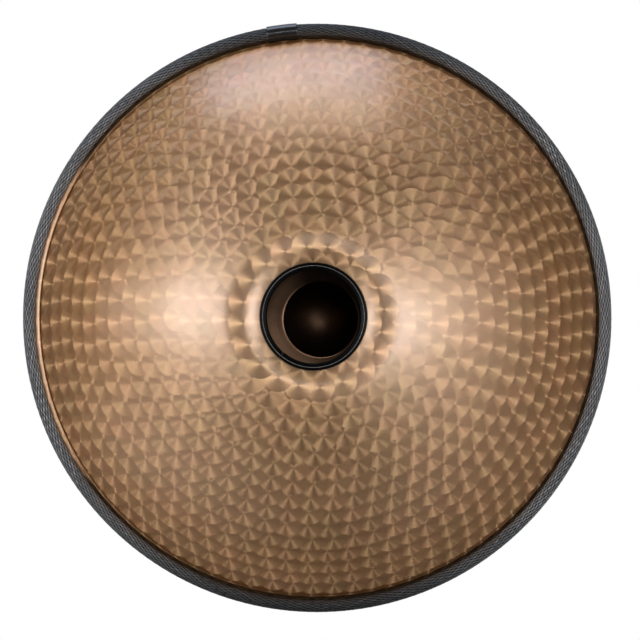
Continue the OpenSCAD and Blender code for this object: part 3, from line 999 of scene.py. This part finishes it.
def floor_paper():
    net = material_net("floor_paper")
    position = net.position()
    radius = net.split(position)[3]
    grain = net.noise(position, scale=9.0, detail=4.0, rough=0.5)
    color = net.mix_color(grain, (0.80, 0.80, 0.79), (0.84, 0.84, 0.835))
    paper = net.signal("ShaderNodeBsdfDiffuse", {"Color": color})
    clear = net.signal("ShaderNodeBsdfTransparent")
    fade = net.remap(radius, over=(0.55, 2.2), smooth=True)
    hidden = net.math("MAXIMUM", fade, net.geometry("Backfacing"))
    return net.finish(net.mix_shader(hidden, paper, clear))


def build_floor():
    """A pale floor that shows only from above, and fades into the pale world."""
    verts = [(0, 0, 0)]
    for radius in FLOOR_RINGS:
        for i in range(FLOOR_SEGMENTS):
            angle = TURN * i / FLOOR_SEGMENTS
            verts.append((radius * math.cos(angle), radius * math.sin(angle), 0))
    faces = [(0, 1 + i, 1 + (i + 1) % FLOOR_SEGMENTS) for i in range(FLOOR_SEGMENTS)]
    for k in range(len(FLOOR_RINGS) - 1):
        near = 1 + k * FLOOR_SEGMENTS
        far = near + FLOOR_SEGMENTS
        for i in range(FLOOR_SEGMENTS):
            j = (i + 1) % FLOOR_SEGMENTS
            faces.append((near + i, far + i, far + j, near + j))
    mesh = bpy.data.meshes.new("floor")
    mesh.from_pydata(verts, [], faces)
    ob = bpy.data.objects.new("floor", mesh)
    scene.collection.objects.link(ob)
    ob.location.z = -0.0002
    ob.visible_glossy = False
    ob.visible_diffuse = False
    ob.visible_transmission = False
    ob.visible_shadow = False
    mesh.materials.append(floor_paper())


def below(off, azimuth):
    """Direction to a light under the object: degrees off -Z, and degrees round from
    -X (the picture's right) towards +Y."""
    a, b = math.radians(off), math.radians(azimuth)
    return (-math.sin(a) * math.cos(b), math.sin(a) * math.sin(b), -math.cos(a))


AMBIENT = 0.012
# soft reflector glows: degrees off -Z, degrees round, spread in degrees, radiance
GLOWS = [
    (24, 200, 5, 0.15),
    (22, 0, 9, 1.96), (22, 28, 9, 0.06), (22, 332, 9, 0.38),
    (36, 28, 11, 0.37), (36, 332, 11, 0.30), (36, 178, 11, 2.2),
    (50, 0, 13, 0.60), (50, 30, 13, 0.10), (50, 330, 13, 0.31),
    (50, 150, 13, 0.59), (50, 210, 13, 0.13), (66, 118, 14, 0.15),
    (66, 210, 14, 0.36), (66, 240, 14, 0.24), (66, 300, 14, 0.23),
    (83, 90, 15, 0.34), (83, 62, 15, 0.25), (83, 118, 15, 0.23),
    (83, 210, 15, 0.22), (83, 330, 15, 0.12),
]
# what is seen above the horizon: (z of the direction, radiance)
SKY = [(0.0, (0.10, 0.10, 0.10)), (0.18, (0.14, 0.14, 0.14)),
       (0.45, (0.52, 0.52, 0.52)), (1.0, (0.78, 0.78, 0.775))]


def build_world():
    """White to the camera. What the metal sees is a dim studio with soft glows."""
    scene.world = bpy.data.worlds.new("studio")
    net = Net(scene.world)
    direction = net.signal("ShaderNodeTexCoord", output="Generated")
    z = net.separate(direction)[2]
    total = AMBIENT
    for off, azimuth, spread, radiance in GLOWS:
        tightness = 0.5 / (1 - math.cos(math.radians(spread)))
        facing = net.signal("ShaderNodeVectorMath", [direction, below(off, azimuth)],
                            "Value", operation="DOT_PRODUCT")
        glow = net.math("EXPONENT", (facing - 1.0) * tightness)
        total = net.math("MULTIPLY_ADD", glow, radiance, total)
    sky = net.ramp(net.remap(z, over=(0.0, 1.0)), SKY)
    seen = net.mix_color(net.remap(z, over=(-0.03, 0.12), smooth=True),
                         net.xyz(total, total, total), sky)
    to_camera = net.signal("ShaderNodeLightPath", output="Is Camera Ray")
    color = net.mix_color(to_camera, seen, (1.0, 1.0, 1.0))
    net.finish(net.signal("ShaderNodeBackground", {"Color": color, "Strength": 1.0}),
               "ShaderNodeOutputWorld")


build_floor()
build_world()

# -------------------------------------------------------------------- lights
LIGHTS_AIM = Vector((0, 0, 0.1))
WHITE = (1, 1, 1)
# soft boxes: name, direction, distance, (width, height), radiance, colour
SOFT_BOXES = [
    ("key_right", below(24, 356), 1.9, (0.52, 0.60), 2.12, (0.95, 1.05, 1.22)),
    ("key_right_wide", below(40, 4), 1.9, (0.62, 0.80), 0.53, WHITE),
    ("key_left", below(40, 175), 1.9, (0.55, 0.62), 1.57, (0.96, 1.05, 1.23)),
    ("key_left_wide", below(58, 178), 1.9, (0.60, 0.95), 0.85, WHITE),
    ("panel_top", below(87, 97), 1.9, (1.45, 0.70), 1.55, (0.67, 0.89, 1.38)),
    ("panel_top_wide", below(71, 92), 1.9, (1.30, 0.50), 0.92, WHITE),
    ("bar_front", below(9.5, 92), 1.9, (0.40, 0.045), 6.0, WHITE),
    ("front_card", below(9.5, 48), 1.9, (0.55, 0.50), 0.62, WHITE),
    ("over_key", (-0.55, -0.5, 0.9), 2.0, (1.3, 1.3), 1.9, (1.0, 0.99, 0.98)),
    ("over_fill", (0.8, 0.5, 0.8), 2.2, (1.4, 1.4), 1.0, WHITE),
]
for name, direction, distance, size, radiance, color in SOFT_BOXES:
    light = bpy.data.lights.new(name, "AREA")
    light.shape = "RECTANGLE"
    light.size, light.size_y = size
    light.energy = radiance * math.pi * size[0] * size[1]
    light.color = color
    light.spread = math.pi
    ob = bpy.data.objects.new(name, light)
    scene.collection.objects.link(ob)
    towards = Vector(direction).normalized()
    ob.location = LIGHTS_AIM + towards * distance
    ob.rotation_euler = (-towards).to_track_quat("-Z", "Y").to_euler()
    ob.visible_camera = False

# -------------------------------------------------------------------- camera
# It looks straight up (+Z) with -X to the picture's right, from a little to the
# picture's right and low, with the lens shifted back on to the object.
CAMERA_DISTANCE = 1.5
HALF_VIEW = 0.3044719315                 # half the view's width at the rim
CENTRING = (0.00425, -0.003234375)       # extra lens shift, in view widths
side_x, side_y = (CAMERA_DISTANCE * math.tan(math.radians(a)) for a in (1.9, 0.7))
camera_data = bpy.data.cameras.new("camera")
camera = bpy.data.objects.new("camera", camera_data)
scene.collection.objects.link(camera)
scene.camera = camera
camera.matrix_world = Matrix(((-1, 0, 0, -side_x), (0, 1, 0, -side_y),
                              (0, 0, -1, MID_Z * MM - CAMERA_DISTANCE), (0, 0, 0, 1)))
camera_data.sensor_width = 36.0
camera_data.angle = 2 * math.atan(HALF_VIEW / CAMERA_DISTANCE)
camera_data.shift_x = -side_x / (2 * HALF_VIEW) + CENTRING[0]
camera_data.shift_y = side_y / (2 * HALF_VIEW) + CENTRING[1]
camera_data.clip_start = 0.01
